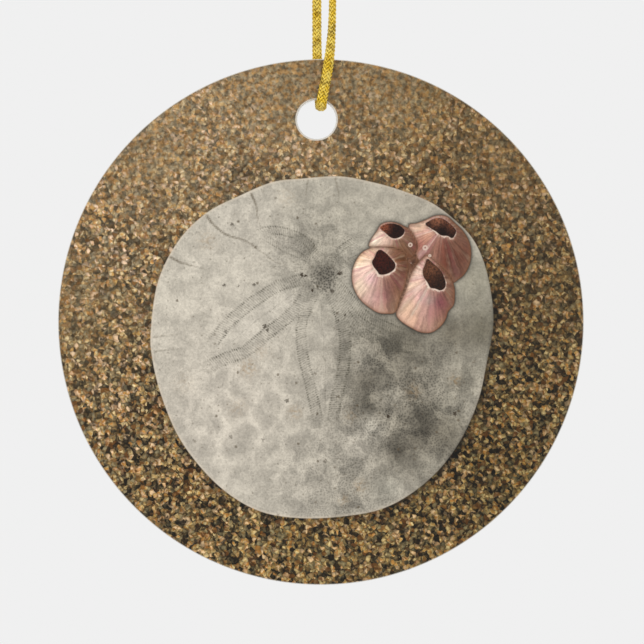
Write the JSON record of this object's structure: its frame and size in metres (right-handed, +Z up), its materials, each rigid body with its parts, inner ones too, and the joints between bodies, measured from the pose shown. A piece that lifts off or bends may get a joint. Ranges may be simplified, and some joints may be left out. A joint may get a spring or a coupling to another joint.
{
  "type": "hanging ornament",
  "caption": "Flat round ceramic hanging ornament with a full printed face, a plain glazed back and a braided gold cord loop tied in a knot.",
  "frame": {"origin": "the point under the knot where the cord loop is hung", "axes": "+Z up, +X to the right seen from the printed face, -Y out of the printed face"},
  "size_m": [0.073, 0.0068, 0.1384],
  "materials": {
    "white_glaze": "smooth white glaze over ceramic",
    "printed_coat": "full-bleed print under a satin clear coat: a sea urchin test with barnacles on sand",
    "gold_cord": "metallic gold braid"
  },
  "bodies": {
    "knot": {"cord_knot": "gold_cord", "cord_end_front": "gold_cord", "cord_end_back": "gold_cord"},
    "loop": {"cord_loop": "gold_cord"},
    "disc": {"ceramic_disc": "white_glaze", "front_print": "printed_coat"}
  },
  "joints": [
    {"name": "turn_on_cord", "type": "hinge", "parent": "knot", "child": "loop", "pos_m": [0, 0, 0], "axis": [0, 0, 1], "range_deg": [-180, 180]},
    {"name": "rock_on_cord", "type": "hinge", "parent": "loop", "child": "disc", "pos_m": [0, 0, -0.0561], "axis": [0, 1, 0], "range_deg": [-40, 40]}
  ]
}
